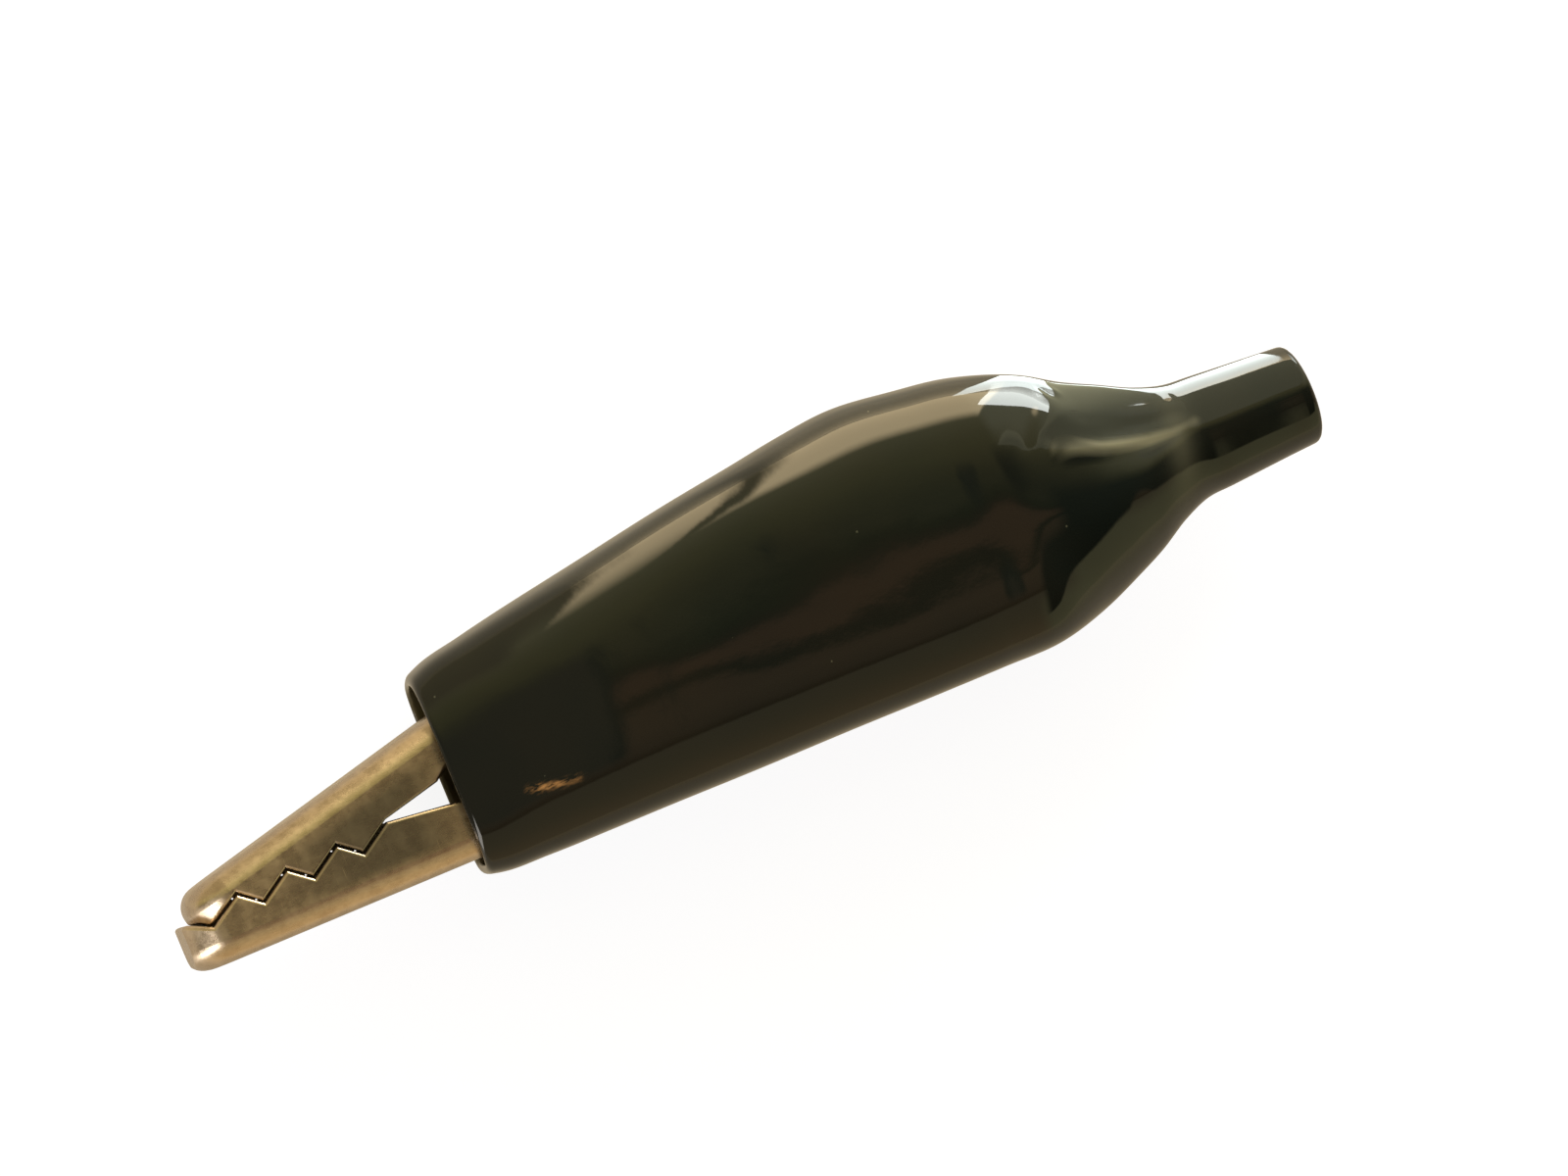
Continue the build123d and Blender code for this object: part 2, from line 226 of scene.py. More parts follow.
# The upper jaw's back in the side view: its height at the front and its rise per millimetre.
back_height = 3.02
back_slope = 0.243


def painted(tree, name):
    """The amount of a mark that add_boot writes on the boot's points."""
    return node(tree, "ShaderNodeAttribute", attribute_name=name).outputs["Fac"]


def vinyl_material():
    """Glossy black vinyl with waves, hairlines, dust, a painted highlight along the ridge and the
    neck, and a scuff.
    """
    material, tree, output = new_material("black_vinyl")
    place = object_place(tree)
    cloudy = noise(tree, place, 6.0, detail=2.0)
    peel = noise(tree, place, 0.55, detail=2.0)
    hair = noise(tree, stretched(tree, place, (0.12, 1.0, 1.0), 18), 0.16, detail=1.0)
    scratch = ramp(tree, hair, [(0.0, 0.0), (0.70, 0.0), (0.78, 1.0)])
    patches = ramp(tree, noise(tree, place, 3.0), [(0.52, 0.0), (0.64, 1.0)])
    cells = node(tree, "ShaderNodeTexVoronoi", inputs={"Vector": place, "Scale": 1 / (1.6 * MM)})
    speck = ramp(tree, cells.outputs["Distance"], [(0.0, 1.0), (0.022, 1.0), (0.034, 0.0)])
    breaks = noise(tree, stretched(tree, place, (0.3, 1.0, 1.0)), 0.12)
    broken = ramp(tree, breaks, [(0.40, 0.0), (0.60, 1.0)])
    colour = ramp(tree, cloudy, [(0.3, dark_vinyl), (0.7, light_vinyl)])
    for mask, mark_colour in (
        (product(tree, speck, 0.6), dust_grey),
        # painted highlight along the ridge and the tube's neck
        (product(tree, painted(tree, "painted_highlight"), 0.40), painted_highlight_grey),
        (painted(tree, "lining"), lining_tan),
        (product(tree, painted(tree, "scuff"), broken, 0.9), scuff_brass),
    ):
        colour = mix(tree, mask, colour, mark_colour)
    gloss = ramp(tree, cloudy, [(0.3, 0.035), (0.7, 0.06)])
    dulled = mix(tree, product(tree, scratch, patches, 0.7), gloss, hairline_roughness)
    waves = bump(tree, cloudy, 0.05 * MM)
    skin = bump(tree, peel, 0.0015 * MM, normal=waves)
    shader = node(
        tree, "ShaderNodeBsdfPrincipled",
        inputs={"Base Color": colour, "Roughness": dulled, "IOR": 1.5, "Normal": skin},
    )
    tree.links.new(shader.outputs["BSDF"], output.inputs["Surface"])
    return material


def painted_shade_mask(tree, place):
    """Painted shade on the jaws' flats: it grows towards the boot and leaves the folds bright."""
    at = node(
        tree, "ShaderNodeVectorMath", operation="MULTIPLY_ADD",
        inputs={0: place, 1: (1 / MM,) * 3, 2: tuple(-side_origin / MM)},
    )
    x, y, _ = axes(tree, at.outputs["Vector"])
    back = calculate(tree, "ADD", product(tree, x, back_slope), back_height)
    from_back = calculate(tree, "SUBTRACT", back, y)
    return product(
        tree, eased(tree, x, 2.5, 8.0), inverse(tree, eased(tree, x, 9.5, 12.5)),
        eased(tree, y, 0.75, 1.25), eased(tree, from_back, 0.85, 1.7),
    )


def plate_material(name, dark, light, smooth, rough, painted_shade=None):
    """Plated steel: a mottled tint, fine grain along the strip, a few scratches, and painted shade
    on the flats when it is given.
    """
    material, tree, output = new_material(name)
    place = object_place(tree)
    blotches = noise(tree, place, 0.7, detail=4.0, roughness=0.6)
    fine = noise(tree, stretched(tree, place, (0.35, 1.0, 1.0), -8), 0.09, roughness=0.7)
    hair = noise(tree, stretched(tree, place, (1.0, 0.1, 1.0), -14), 0.12, detail=1.0)
    scratch = ramp(tree, hair, [(0.0, 0.0), (0.71, 0.0), (0.77, 1.0)])
    tint = ramp(tree, blotches, [(0.32, dark), (0.68, light)])
    colour = mix(tree, 0.35, tint, ramp(tree, fine, [(0.35, dark), (0.65, light)]))
    # painted shade: the flats darken towards the boot
    if painted_shade:
        colour = mix(tree, painted_shade_mask(tree, place), colour, painted_shade)
    colour = mix(tree, product(tree, scratch, 0.5), colour, scratch_gold)
    roughness = ramp(tree, blotches, [(0.3, smooth), (0.7, rough)])
    relief = bump(tree, fine, 0.004 * MM)
    shader = node(
        tree, "ShaderNodeBsdfPrincipled",
        inputs={"Base Color": colour, "Roughness": roughness, "Metallic": 1.0, "Normal": relief},
    )
    tree.links.new(shader.outputs["BSDF"], output.inputs["Surface"])
    return material


# --- Boot: sections ---------------------------------------------------------------------------
# Every station holds half a cross-section: control points of a smooth closed curve, from the top's
# middle over the near side to the underside's middle. The curve runs inside its control points
# where they turn, so those of round parts reach further out. Along the boot the sections are joined
# by smooth curves through the stations.

half_points = 15
around_steps = 6
corner_reach = 1.047
round_reach = 1.008
crown = 0.10
bow = 0.09
side_shares = (1.0, 0.80, 0.64, 0.46, 0.28, 0.12, 0.0)
panel_shares = (0.36, 0.68)
ridge_ease = 0.13
tube_centre = 4.5
tube_end_radius = 2.08
boot_end_x = (boot_high.x - side_origin.x) / MM


def body_section(high, low, half, top_radius, low_radius):
    """The sleeve: slightly bowed sides, round long edges and a slightly crowned top."""
    edge = half - bow
    side_high = high - top_radius - crown
    side_low = low + low_radius

    def corner(middle, radius, side, turn):
        reach = corner_reach * radius
        y = middle + side * reach * cos(radians(turn))
        return (y, edge - radius + reach * sin(radians(turn)))

    points = [(high + crown / 2, 0.0), (high - crown, edge - top_radius)]
    points += [corner(side_high, top_radius, 1, turn) for turn in (30, 60)]
    for share in side_shares:
        y = side_low + share * (side_high - side_low)
        points.append((y, half - bow * (2 * share - 1) ** 2))
    points += [corner(side_low, low_radius, -1, turn) for turn in (60, 30)]
    return points + [(low, edge - low_radius), (low, 0.0)]


def gathered_section(high, low, top, ridge, half, centre, bulge):
    """Behind the lever: a panel slopes from the top's edge to a soft ridge over a round part."""
    widest = (centre, half)

    def between(first, second, share, lift=0.0):
        dy, dz = second[0] - first[0], second[1] - first[1]
        length = (dy * dy + dz * dz) ** 0.5
        y = first[0] + share * dy + lift * dz / length
        return (y, first[1] + share * dz - lift * dy / length)

    points = [
        (high, 0.0),
        (high - 0.02, 0.6 * top[1]),
        top,
        *(between(top, ridge, share, bulge) for share in panel_shares),
        between(ridge, top, ridge_ease),
        between(ridge, widest, ridge_ease),
        widest,
    ]
    steps = half_points - len(points)
    for k in range(1, steps + 1):
        turn = pi / 2 * k / steps
        y = centre - (centre - low) * round_reach * sin(turn)
        points.append((y, half * round_reach * cos(turn)))
    points[-1] = (low, 0.0)
    return points


def midway(first, second, share):
    return [(a + share * (c - a), b + share * (d - b)) for (a, b), (c, d) in zip(first, second)]


def round_section(centre, radius):
    step = pi / (half_points - 1)
    reach = radius * 6 / (4 + 2 * cos(step))
    return [(centre + reach * cos(k * step), reach * sin(k * step)) for k in range(half_points)]


# Each station: its x and its section. A body section is given by its high and low edge, its half
# width and the radii of its top and low edges; a gathered one by its high and low edge, the top's
# edge, the ridge, its half width, the height where it is widest, and the panel's bulge.
boot_stations = [
    (12.0, body_section(7.66, -0.72, 3.50, 1.95, 1.75)),
    (12.7, body_section(7.96, -0.88, 3.64, 2.00, 1.90)),
    (14.6, body_section(8.36, -0.96, 3.98, 2.15, 2.20)),
    (17.0, body_section(8.82, -0.98, 4.18, 2.25, 2.40)),
    (20.9, body_section(9.52, -1.00, 4.20, 2.30, 2.50)),
    (24.5, body_section(10.12, -1.02, 4.20, 2.30, 2.50)),
    (27.3, body_section(10.54, -1.04, 4.20, 2.45, 2.50)),
    (29.6, body_section(10.89, -1.05, 4.20, 2.75, 2.50)),
    (31.9, body_section(11.12, -1.06, 4.20, 2.90, 2.50)),
    (34.5, body_section(10.88, -1.07, 4.20, 2.90, 2.55)),
    (36.9, body_section(10.50, -1.04, 4.20, 2.90, 2.75)),
    (39.5, gathered_section(9.52, -0.45, (9.26, 2.15), (7.50, 3.70), 4.02, 4.10, 0.05)),
    (41.0, gathered_section(8.68, 0.14, (8.42, 1.50), (6.40, 3.25), 3.62, 4.10, 0.15)),
    (42.4, gathered_section(8.02, 0.76, (7.80, 1.10), (5.85, 2.72), 3.10, 4.10, 0.18)),
    (43.8, midway(
        gathered_section(7.34, 1.56, (7.12, 1.00), (5.50, 2.35), 2.64, 4.30, 0.12),
        round_section(4.45, 2.88),
        0.3,
    )),
    (45.0, round_section(tube_centre, 2.46)),
    (46.2, round_section(tube_centre, 2.36)),
    (boot_end_x, round_section(tube_centre, tube_end_radius)),
]


# --- Boot: curves and mesh --------------------------------------------------------------------


def whole_section(half):
    """The far side mirrors the near side."""
    return np.array(half + [(y, -z) for y, z in reversed(half[1:-1])])


def along(stations, values, x):
    """Smooth values at x, through the values at the stations."""
    stations = np.asarray(stations, float)
    values = np.asarray(values, float)
    gaps = np.diff(stations)
    slopes = np.diff(values, axis=0) / gaps.reshape(-1, *[1] * (values.ndim - 1))
    tangents = np.empty_like(values)
    tangents[0] = slopes[0]
    tangents[-1] = slopes[-1]
    for k in range(1, len(stations) - 1):
        both_gaps = gaps[k - 1] + gaps[k]
        tangents[k] = (slopes[k - 1] * gaps[k] + slopes[k] * gaps[k - 1]) / both_gaps
    k = int(np.clip(np.searchsorted(stations, x) - 1, 0, len(gaps) - 1))
    t = (x - stations[k]) / gaps[k]
    return (
        (2 * t**3 - 3 * t**2 + 1) * values[k]
        + (t**3 - 2 * t**2 + t) * gaps[k] * tangents[k]
        + (3 * t**2 - 2 * t**3) * values[k + 1]
        + (t**3 - t**2) * gaps[k] * tangents[k + 1]
    )


def round_curve(points, steps):
    """Closed smooth curve over the control points, with steps points for each of them."""
    curve = []
    count = len(points)
    for k in range(count):
        p = [points[(k + offset) % count] for offset in (-1, 0, 1, 2)]
        for step in range(steps):
            t = step / steps
            curve.append(
                ((1 - t) ** 3 * p[0] + (3 * t**3 - 6 * t**2 + 4) * p[1]
                 + (-3 * t**3 + 3 * t**2 + 3 * t + 1) * p[2] + t**3 * p[3]) / 6
            )
    return np.array(curve)


def shrunk(points, wall):
    """The section with its wall taken off on every side."""
    middle = (points.max(0) + points.min(0)) / 2
    reach = (points.max(0) - points.min(0)) / 2
    return middle + (points - middle) * (reach - wall) / reach


def crease(x, y, line, width):
    """A soft ridge of height 1 along a line of side-view points, fading out at both ends."""
    nearest = np.full(np.shape(x), np.inf)
    place = np.zeros(np.shape(x))
    for k, (start, end) in enumerate(zip(line, line[1:])):
        dx, dy = end[0] - start[0], end[1] - start[1]
        share = ((x - start[0]) * dx + (y - start[1]) * dy) / (dx * dx + dy * dy)
        share = np.clip(share, 0, 1)
        distance = np.hypot(x - start[0] - share * dx, y - start[1] - share * dy)
        place = np.where(distance < nearest, (k + share) / (len(line) - 1), place)
        nearest = np.minimum(nearest, distance)
    return np.exp(-((nearest / width) ** 2)) * np.sin(pi * np.clip(place, 0.04, 0.96)) ** 0.6


# Lines on the near side. A painted highlight makes the vinyl pale along the ridge and at the tube's
# neck, and a scuff near the mouth shows brass.
scuff_line = ((14.3, 1.80), (15.0, 1.62), (16.4, 1.42))
pale_line = (
    (39.0, 6.20), (40.0, 5.95), (41.0, 5.55), (42.0, 5.30), (43.0, 5.10), (44.0, 5.03),
    (45.1, 5.10),
)
neck_line = ((44.6, 6.0), (44.3, 5.0), (44.1, 4.1), (43.9, 3.1), (43.4, 1.6))

# For each mark on the vinyl: its lines, with their width and strength.
marks = (
    # painted highlight: the pale line along the ridge and the paler patch at the neck
    ("painted_highlight", ((pale_line, 0.20, 1.0), (neck_line, 0.60, 0.22))),
    ("scuff", ((scuff_line, 0.10, 1.0),)),
)

ridge_line = ((38.9, 6.22), (39.6, 6.04), (40.8, 5.67), (42.0, 5.44), (43.3, 5.28), (44.7, 5.22))
ridge_height = 0.09
ridge_width = 0.24
trough_depth = 0.04
trough_rise = 1.4       # the trough runs above the ridge, by this much less the slope times x
trough_slope = 0.02
wave_height = 0.016

# Wrinkles behind the lever and where the tube begins: height, line and width.
wrinkles = (
    (0.04, ((39.35, 8.75), (39.75, 8.25)), 0.13),
    (-0.05, ((39.60, 8.85), (40.15, 8.10)), 0.14),
    (0.04, ((40.05, 8.60), (40.45, 8.15)), 0.12),
    (0.012, ((44.35, 6.60), (44.70, 5.70)), 0.14),
    (-0.016, ((44.65, 6.60), (45.00, 5.60)), 0.15),
)


def skin_relief(x, y, z):
    """How far the skin stands proud of its smooth form, in waves, and in folds on the near side."""
    near = np.clip(z, 0, 1)
    height = wave_height * np.sin(0.62 * x + 0.5 * y + 0.4 * z) * np.sin(0.45 * y - 0.21 * x + 1.1)
    height += ridge_height * near * crease(x, y, ridge_line, ridge_width)
    trough_y = y + trough_slope * x - trough_rise
    height -= trough_depth * near * crease(x, trough_y, ridge_line, ridge_width)
    for fold, line, width in wrinkles:
        height += fold * near * crease(x, y, line, width)
    return height


boot_wall = 0.7
neck_wall = 0.9
lip_wall = 0.45
bore_radius = 1.5
tail_wall = tube_end_radius - bore_radius
lip_x = 12.02
lip_slant = 0.065
lip_reach = 2.5         # the mouth's slant fades out over this length
lip_radius = lip_wall / 2
end_round = 0.28
end_flat = 0.05

# The skin's relief begins behind the mouth, ends before the tail's end, and fades over a length.
relief_start_x = 12.4
relief_end_x = boot_end_x - 0.5
start_fade = 1.5
end_fade = 1.0


def spaced(start, runs):
    """Places from start on, in runs of (end, step); the last end is left out."""
    places = []
    for end, step in runs:
        count = max(1, round(abs(end - start) / step))
        places += [start + (end - start) * k / count for k in range(count)]
        start = end
    return places


def boot_rings():
    """Rings from the tail's end along the skin, round the mouth's lip and back along the inside."""
    stations = [x for x, _ in boot_stations]
    sections = [whole_section(half) for _, half in boot_stations]
    mouth_x = stations[0]

    def ring(x, wall):
        curve = round_curve(along(stations, sections, x), around_steps)
        if wall:
            curve = shrunk(curve, wall)
        slide = np.exp(-((x - mouth_x) / lip_reach) ** 2)
        xs = x + slide * (lip_x - mouth_x - lip_slant * curve[:, 1])
        return np.column_stack([xs, curve])

    outside = [ring(boot_end_x, end_round + end_flat)]
    for angle in (0, 22, 45, 68):
        x = boot_end_x - end_round * (1 - cos(radians(angle)))
        outside.append(ring(x, end_round * (1 - sin(radians(angle)))))
    outer_runs = ((45.6, 0.3), (36.5, 0.1), (13.0, 0.2), (mouth_x + lip_radius, 0.1))
    outside += [ring(x, 0.0) for x in spaced(boot_end_x - end_round, outer_runs)]

    lip = []
    for angle in range(0, 181, 20):
        x = mouth_x + lip_radius * (1 - sin(radians(angle)))
        lip.append(ring(x, lip_radius * (1 - cos(radians(angle)))))

    # how thick the wall is along the boot
    wall_x = (mouth_x, 14.5, 38.0, 44.0, boot_end_x)
    walls = (lip_wall, boot_wall, boot_wall, neck_wall, tail_wall)
    inner_runs = ((37.0, 0.6), (45.0, 0.4), (boot_end_x, 0.6))
    inner_x = spaced(mouth_x + lip_wall, inner_runs)
    inside = [ring(x, float(np.interp(x, wall_x, walls))) for x in inner_x]
    inside.append(ring(boot_end_x, tail_wall))
    return outside, lip, inside


def smooth_mesh(name, rings, closed_ends=False, loop=False):
    """A mesh over rings of points, each joined to the next; loop joins the last to the first."""
    count = len(rings[0])
    points = np.concatenate(rings)
    faces = []
    pairs = list(zip(range(len(rings)), range(1, len(rings))))
    if loop:
        pairs.append((len(rings) - 1, 0))
    for a, b in pairs:
        for k in range(count):
            next_k = (k + 1) % count
            faces.append((a * count + k, b * count + k, b * count + next_k, a * count + next_k))
    if closed_ends:
        faces.append(tuple(range(count)))
        faces.append(tuple(reversed(range((len(rings) - 1) * count, len(rings) * count))))
    mesh = bpy.data.meshes.new(name)
    mesh.from_pydata([in_frame(*p) for p in points], [], faces)
    mesh.update()
    mesh.polygons.foreach_set("use_smooth", [True] * len(faces))
    piece = bpy.data.objects.new(name, mesh)
    bpy.context.scene.collection.objects.link(piece)
    return piece


def relieved(rings):
    """The rings moved along the skin's normal by its relief, which fades out at mouth and tail."""
    grid = np.array(rings)
    lengthwise = np.gradient(grid, axis=0)
    crosswise = np.roll(grid, -1, axis=1) - np.roll(grid, 1, axis=1)
    normals = np.cross(lengthwise, crosswise)
    normals /= np.linalg.norm(normals, axis=2, keepdims=True)
    x = grid[..., 0]
    height = skin_relief(x, grid[..., 1], grid[..., 2])
    fade_in = np.clip((x - relief_start_x) / start_fade, 0, 1)
    fade_out = np.clip((relief_end_x - x) / end_fade, 0, 1)
    return list(grid + normals * (height * (fade_in * fade_out))[..., None])


def add_boot(material):
    outside, lip, inside = boot_rings()
    piece = smooth_mesh("soft_boot", relieved(outside) + lip + inside, loop=True)
    point_count = len(piece.data.vertices)
    skin = np.concatenate(outside)
    for name, lines in marks:
        amount = np.zeros(point_count)
        for line, width, strength in lines:
            mark = strength * crease(skin[:, 0], skin[:, 1], line, width)
            mark = np.where(skin[:, 2] > 0, mark, 0.0)
            amount[:len(skin)] = np.maximum(amount[:len(skin)], mark)
        attribute = piece.data.attributes.new(name, "FLOAT", "POINT")
        attribute.data.foreach_set("value", amount)
    outer_lip_rings = 6     # the lip's first rings belong to the outside
    lining_start = len(skin) + outer_lip_rings * len(outside[0])
    lining = piece.data.attributes.new("lining", "FLOAT", "POINT")
    lining.data.foreach_set("value", np.arange(point_count) >= lining_start)
    piece.data.materials.append(material)
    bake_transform(piece)
    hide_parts("boot")


# --- Spring -----------------------------------------------------------------------------------

jaw_hinge = next(joint for joint in frame["joints"] if joint["name"] == "jaw_open")
pivot = side_view(jaw_hinge["pos_m"])
wire_radius = 0.3
wire_sides = 16
coil_radius = 1.55
coil_pitch = 1.25
coil_steps = 28         # points in a turn
full_turns = 2
flat_turns = 0.25       # turns that add nothing to the coil's rise
level_turn = 0.12       # the coil stays level over this part of a turn at both ends
lower_leg = (26.8, 1.83)
upper_leg = (25.3, 8.27)
leg_steps = 8
cap_width = 0.7         # of the wire's radius, at the rounded ends
cap_length = 0.3


def spring_line():
    """Points along the wire: the lower leg, the coil and the upper leg. Also the coil's rise."""

    def touch(leg, turn):
        dx, dy = leg[0] - pivot.x, leg[1] - pivot.y
        return atan2(dy, dx) + turn * acos(coil_radius / (dx * dx + dy * dy) ** 0.5)

    start, end = touch(lower_leg, -1), touch(upper_leg, 1)
    turns = full_turns + ((start - end) / (2 * pi)) % 1
    rise = coil_pitch * (turns - flat_turns)
    count = ceil(turns * coil_steps)
    coil = []
    for k in range(count + 1):
        share = k / count
        angle = start - 2 * pi * turns * share
        climb = np.clip((share * turns - level_turn) / (turns - 2 * level_turn), 0, 1)
        x = pivot.x + coil_radius * cos(angle)
        y = pivot.y + coil_radius * sin(angle)
        coil.append((x, y, rise * (climb - 0.5)))

    def leg_points(leg, joint):
        tip = np.array((leg[0], leg[1], joint[2]))
        return [tuple(tip + (np.array(joint) - tip) * k / leg_steps) for k in range(leg_steps)]

    lower = leg_points(lower_leg, coil[0])
    upper = leg_points(upper_leg, coil[-1])
    return np.array(lower + coil + upper[::-1]), rise


def add_spring(material):
    line, rise = spring_line()
    tangents = np.gradient(line, axis=0)
    tangents /= np.linalg.norm(tangents, axis=1, keepdims=True)
    outward = np.cross(tangents, (0.0, 0.0, 1.0))
    outward /= np.linalg.norm(outward, axis=1, keepdims=True)
    upward = np.cross(outward, tangents)
    turns = [2 * pi * k / wire_sides for k in range(wire_sides)]
    rings = [
        np.array([point + wire_radius * (cos(turn) * out + sin(turn) * up) for turn in turns])
        for point, out, up in zip(line, outward, upward)
    ]

    def rounded_end(end, direction):
        smaller = line[end] + (rings[end] - line[end]) * cap_width
        return smaller + direction * tangents[end] * cap_length * wire_radius

    rings = [rounded_end(0, -1), *rings, rounded_end(-1, 1)]
    piece = smooth_mesh("wire_spring", rings, closed_ends=True)
    piece.data.materials.append(material)
    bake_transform(piece)
    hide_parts("torsion_spring")


# --- Ground, light and world ------------------------------------------------------------------
# The vinyl mirrors its room, so lamps, card and world are placed for what is seen in it.

floor_half_size = 3.0
floor_gap = 0.00005
floor_glow = 0.88
backdrop_glow = 0.97
ground_colours = ((0.22, 0.24, 0.33), (0.23, 0.25, 0.34))
mirrored_ground = (0.32, 0.25, 0.14)


def add_sheet(name, points, faces, material):
    """A flat object with one material."""
    mesh = bpy.data.meshes.new(name)
    mesh.from_pydata(points, [], faces)
    sheet = bpy.data.objects.new(name, mesh)
    bpy.context.scene.collection.objects.link(sheet)
    sheet.data.materials.append(material)
    return sheet


def add_floor():
    """A pale ground for the camera, and a warm one in reflections."""
    material, tree, output = new_material("white_ground")
    clouds = noise(tree, object_place(tree), 25.0, detail=2.0)
    shade = ramp(tree, clouds, [(0.3, ground_colours[0]), (0.7, ground_colours[1])])
    surface = node(
        tree, "ShaderNodeBsdfPrincipled",
        inputs={"Base Color": shade, "Roughness": 0.12, "IOR": 1.45},
    )
    path = node(tree, "ShaderNodeLightPath").outputs
    mirrored = calculate(
        tree, "ADD", path["Is Glossy Ray"], path["Is Transmission Ray"], clamp=True
    )
    seen = mix(tree, path["Is Camera Ray"], (0.0, 0.0, 0.0), (floor_glow,) * 3)
    glow_colour = mix(tree, mirrored, seen, mirrored_ground)
    glow = node(tree, "ShaderNodeEmission", inputs={"Color": glow_colour, "Strength": 1.0})
    both = node(tree, "ShaderNodeAddShader")
    tree.links.new(surface.outputs["BSDF"], both.inputs[0])
    tree.links.new(glow.outputs["Emission"], both.inputs[1])
    tree.links.new(both.outputs["Shader"], output.inputs["Surface"])
    corners = [
        (across * floor_half_size, deep * floor_half_size, 0)
        for across, deep in ((-1, -1), (1, -1), (1, 1), (-1, 1))
    ]
    floor = add_sheet("floor", corners, [(0, 1, 2, 3)], material)
    floor.location.z = boot_low.z - floor_gap


def add_light(name, place, target, width, height, radiance, colour):
    """A rectangular lamp that faces the target and is as bright as its radiance says."""
    data = bpy.data.lights.new(name, "AREA")
    data.shape = "RECTANGLE"
    data.size = width
    data.size_y = height
    data.energy = radiance * pi * width * height
    data.color = colour
    lamp = bpy.data.objects.new(name, data)
    lamp.location = place
    lamp.rotation_euler = (Vector(target) - Vector(place)).to_track_quat("-Z", "Y").to_euler()
    lamp.visible_camera = False
    bpy.context.scene.collection.objects.link(lamp)
    return lamp


def add_panel(name, azimuth, elevation, width, height, radiance, colour, distance=0.36):
    """A lamp that faces the clip; its direction, width and height are in degrees."""
    level = distance * cos(radians(elevation))
    rise = distance * sin(radians(elevation))
    place = (level * cos(radians(azimuth)), level * sin(radians(azimuth)), rise)
    wide = 2 * distance * tan(radians(width / 2))
    tall = 2 * distance * tan(radians(height / 2))
    add_light(name, place, (0.0, 0.0, 0.0), wide, tall, radiance, colour)


def feather(lamp, left, right, low, high):
    """Softens a lamp's edges; the widths are shares of the lamp's size."""
    lamp.data.use_nodes = True
    tree = lamp.data.node_tree
    tree.nodes.clear()
    output = tree.nodes.new("ShaderNodeOutputLight")
    place = node(tree, "ShaderNodeNewGeometry").outputs["Parametric"]
    across, upward, _ = axes(tree, place)
    strength = product(
        tree, eased(tree, across, 0.0, right), eased(tree, inverse(tree, across), 0.0, left),
        eased(tree, upward, 0.0, low), eased(tree, inverse(tree, upward), 0.0, high),
    )
    glow = node(tree, "ShaderNodeEmission", inputs={"Strength": strength})
    tree.links.new(glow.outputs["Emission"], output.inputs["Surface"])


softbox_depth = 0.076
softbox_colour = (1.0, 0.78, 0.46)


def add_softbox(name, start, end, top, radiance, edges):
    """A tall soft lamp that stands on the floor beyond the clip's back, from x start to x end.

    Its edges are the soft shares at its left, right, low and high side.
    """
    low = boot_low.z
    place = ((start + end) / 2, softbox_depth, (low + top) / 2)
    target = (place[0], 0.0, place[2])
    lamp = add_light(name, place, target, end - start, top - low, radiance, softbox_colour)
    feather(lamp, *edges)


strip_x = 0.0437
strip_y = 0.0675
strip_lift = 0.0002
strip_turn = radians(-20.3)


def add_lights():
    add_panel(
        "window", azimuth=44.0, elevation=11.0, width=17, height=24,
        radiance=13.0, colour=(0.94, 1.0, 0.97),
    )
    add_panel(
        "nose_lamp", azimuth=-160.0, elevation=25, width=14, height=50,
        radiance=5.0, colour=(1.0, 0.95, 0.88), distance=0.12,
    )
    strip = add_light(
        "low_strip", (strip_x, strip_y, boot_low.z + strip_lift), (strip_x, strip_y, 1.0),
        width=0.0103, height=0.133, radiance=7.5, colour=(0.90, 1.0, 0.99),
    )
    strip.rotation_euler.z = strip_turn
    add_softbox(
        "narrow_softbox", start=-0.0070, end=0.0085, top=0.130, radiance=5.6,
        edges=(0.25, 0.20, 0.01, 0.80),
    )
    add_softbox(
        "wide_softbox", start=0.0100, end=0.0760, top=0.110, radiance=6.2,
        edges=(0.07, 0.10, 0.01, 0.45),
    )


card_y = 0.0060
card_outline = (
    (0.0183, 0.0), (0.0217, 0.0), (0.0217, 0.0056), (0.034, 0.0056),
    (0.034, 0.026), (0.0217, 0.026), (0.0183, 0.0095),
)
card_faces = [(0, 1, 2, 5, 6), (2, 3, 4, 5)]
# The card's glowing colours, a painted reflection: brighter towards the neck.
card_neck_glow = (1.30, 1.24, 0.78)
card_tail_glow = (0.85, 0.81, 0.52)
neck_glow_end_x = 0.0200
tail_glow_start_x = 0.0228


def add_card():
    """A glowing card beside the tail tube, seen in reflections only: its glow is a painted
    reflection, and it hides the tall lamps there.
    """
    material, tree, output = new_material("card_glow")
    across, _, _ = axes(tree, object_place(tree))
    towards_tail = eased(tree, across, neck_glow_end_x, tail_glow_start_x)
    shade = mix(tree, towards_tail, card_neck_glow, card_tail_glow)
    glow = node(tree, "ShaderNodeEmission", inputs={"Color": shade, "Strength": 1.0})
    tree.links.new(glow.outputs["Emission"], output.inputs["Surface"])
    points = [(x, card_y, boot_low.z + z) for x, z in card_outline]
    card = add_sheet("card", points, card_faces, material)
    card.visible_camera = card.visible_diffuse = card.visible_shadow = False


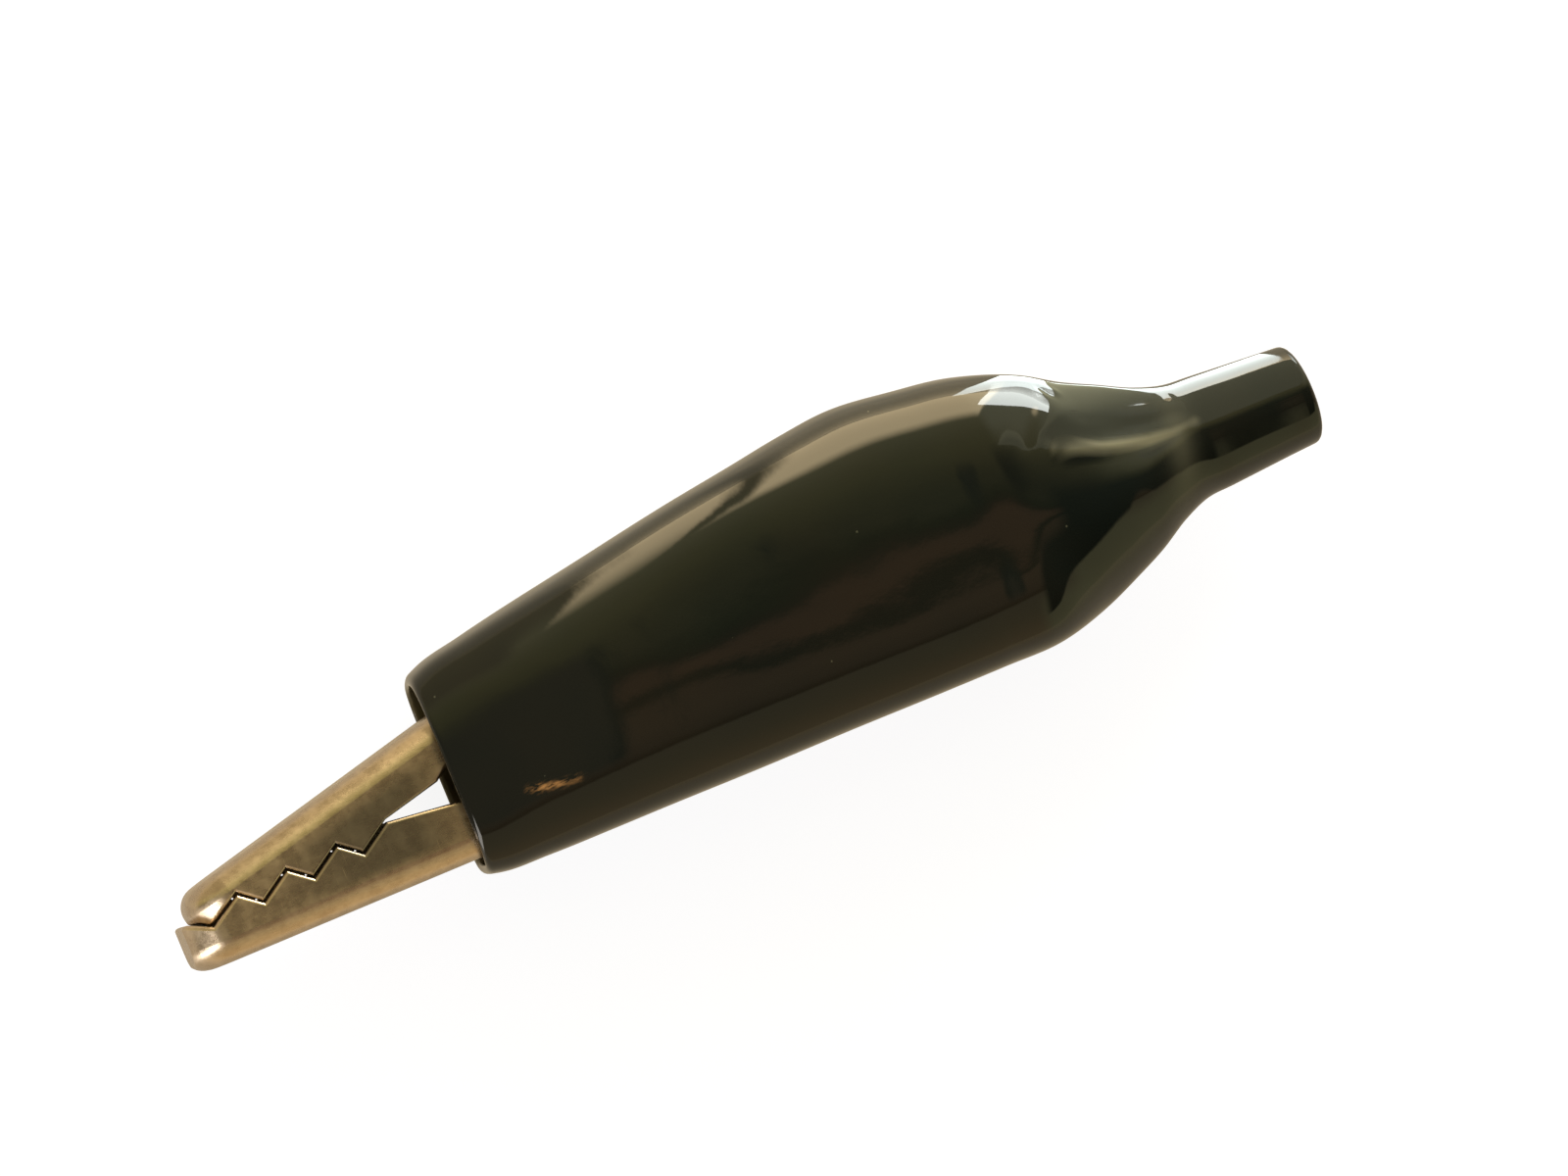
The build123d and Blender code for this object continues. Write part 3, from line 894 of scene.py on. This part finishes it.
# The room from the clip's underside (-1) to its back (1): the direction's y and the colour there.
room_bands = (
    (-0.96, (0.62, 0.45, 0.23)), (-0.68, (0.50, 0.39, 0.21)), (-0.36, (0.42, 0.33, 0.19)),
    (-0.33, (0.16, 0.08, 0.03)), (-0.26, (0.29, 0.18, 0.10)), (-0.12, (0.36, 0.22, 0.12)),
    (-0.085, (0.34, 0.20, 0.11)), (-0.070, (0.08, 0.05, 0.02)), (-0.058, (0.10, 0.06, 0.03)),
    (-0.046, (0.40, 0.21, 0.11)), (-0.018, (0.38, 0.20, 0.11)), (-0.004, (0.10, 0.06, 0.03)),
    (0.020, (0.08, 0.08, 0.03)), (0.050, (0.20, 0.18, 0.08)), (0.11, (0.33, 0.29, 0.12)),
    (0.22, (0.50, 0.44, 0.18)), (0.39, (0.66, 0.58, 0.27)), (0.60, (0.85, 0.75, 0.38)),
    (1.0, (0.55, 0.42, 0.22)),
)
low_tail_colour = (0.68, 0.63, 0.33)
high_jaw_colour = (0.48, 0.38, 0.20)
front_colours = ((0.18, 0.15, 0.10), (0.05, 0.06, 0.045))
high_tail_colour = (1.05, 1.00, 0.62)
overhead_colour = (0.01, 0.01, 0.01)


def set_world():
    """Warm bands, with patches towards the jaws, the tail and overhead; the camera sees it pale."""
    world = bpy.data.worlds.new("room")
    bpy.context.scene.world = world
    world.use_nodes = True
    tree = world.node_tree
    tree.nodes.clear()
    output = tree.nodes.new("ShaderNodeOutputWorld")
    x, y, z = axes(tree, node(tree, "ShaderNodeTexCoord").outputs["Generated"])

    across = product(tree, calculate(tree, "ADD", y, 1.0), 0.5)
    room = ramp(tree, across, [((1 + place) / 2, colour) for place, colour in room_bands])
    low_tail = product(tree, eased(tree, x, 0.20, 0.40), eased(tree, y, -0.30, -0.60))
    room = mix(tree, low_tail, room, low_tail_colour)
    high_jaw = product(
        tree, inverse(tree, eased(tree, x, -0.10, -0.02)), eased(tree, y, 0.25, 0.55)
    )
    room = mix(tree, high_jaw, room, high_jaw_colour)
    front = product(
        tree, inverse(tree, eased(tree, x, 0.138, 0.170)), eased(tree, y, -0.32, -0.20),
        inverse(tree, eased(tree, y, 0.06, 0.16)),
    )
    front_colour = mix(tree, eased(tree, x, 0.12, 0.145), *front_colours)
    room = mix(tree, front, room, front_colour)
    high_tail = mix(tree, eased(tree, x, 0.40, 0.60), room, high_tail_colour)
    room = mix(tree, eased(tree, y, 0.10, 0.40), room, high_tail)
    overhead = product(
        tree, eased(tree, x, 0.29, 0.42), eased(tree, z, 0.48, 0.54),
        inverse(tree, eased(tree, y, 0.03, 0.24)),
    )
    room = mix(tree, overhead, room, overhead_colour)
    seen = node(tree, "ShaderNodeLightPath").outputs["Is Camera Ray"]
    room = mix(tree, seen, room, (backdrop_glow,) * 3)
    background = node(tree, "ShaderNodeBackground", inputs={"Color": room, "Strength": 1.0})
    tree.links.new(background.outputs["Background"], output.inputs["Surface"])


# --- Scene ------------------------------------------------------------------------------------

bpy.context.scene.view_settings.view_transform = "Standard"

add_camera()

vinyl = vinyl_material()
# The nickel's last colour is painted shade that darkens the jaws' flats towards the boot.
nickel = plate_material(
    "nickel_plate", (0.54, 0.44, 0.34), (0.77, 0.64, 0.50), 0.22, 0.34, painted_shade=(0.31, 0.275, 0.23)
)
rivet_steel = plate_material("rivet_steel", (0.50, 0.45, 0.38), (0.66, 0.60, 0.52), 0.25, 0.40)
spring_steel = plate_material("spring_steel", (0.42, 0.40, 0.37), (0.58, 0.56, 0.52), 0.22, 0.34)
screw_steel = plate_material("screw_steel", (0.48, 0.45, 0.40), (0.66, 0.62, 0.55), 0.24, 0.38)

for name, material in (
    ("lower_jaw", nickel), ("upper_jaw", nickel),
    ("pivot_rivet", rivet_steel), ("terminal_screw", screw_steel),
):
    for held in frame["nodes"][name].material_slots:
        held.material = material

add_boot(vinyl)
add_spring(spring_steel)
add_floor()
add_lights()
add_card()
set_world()
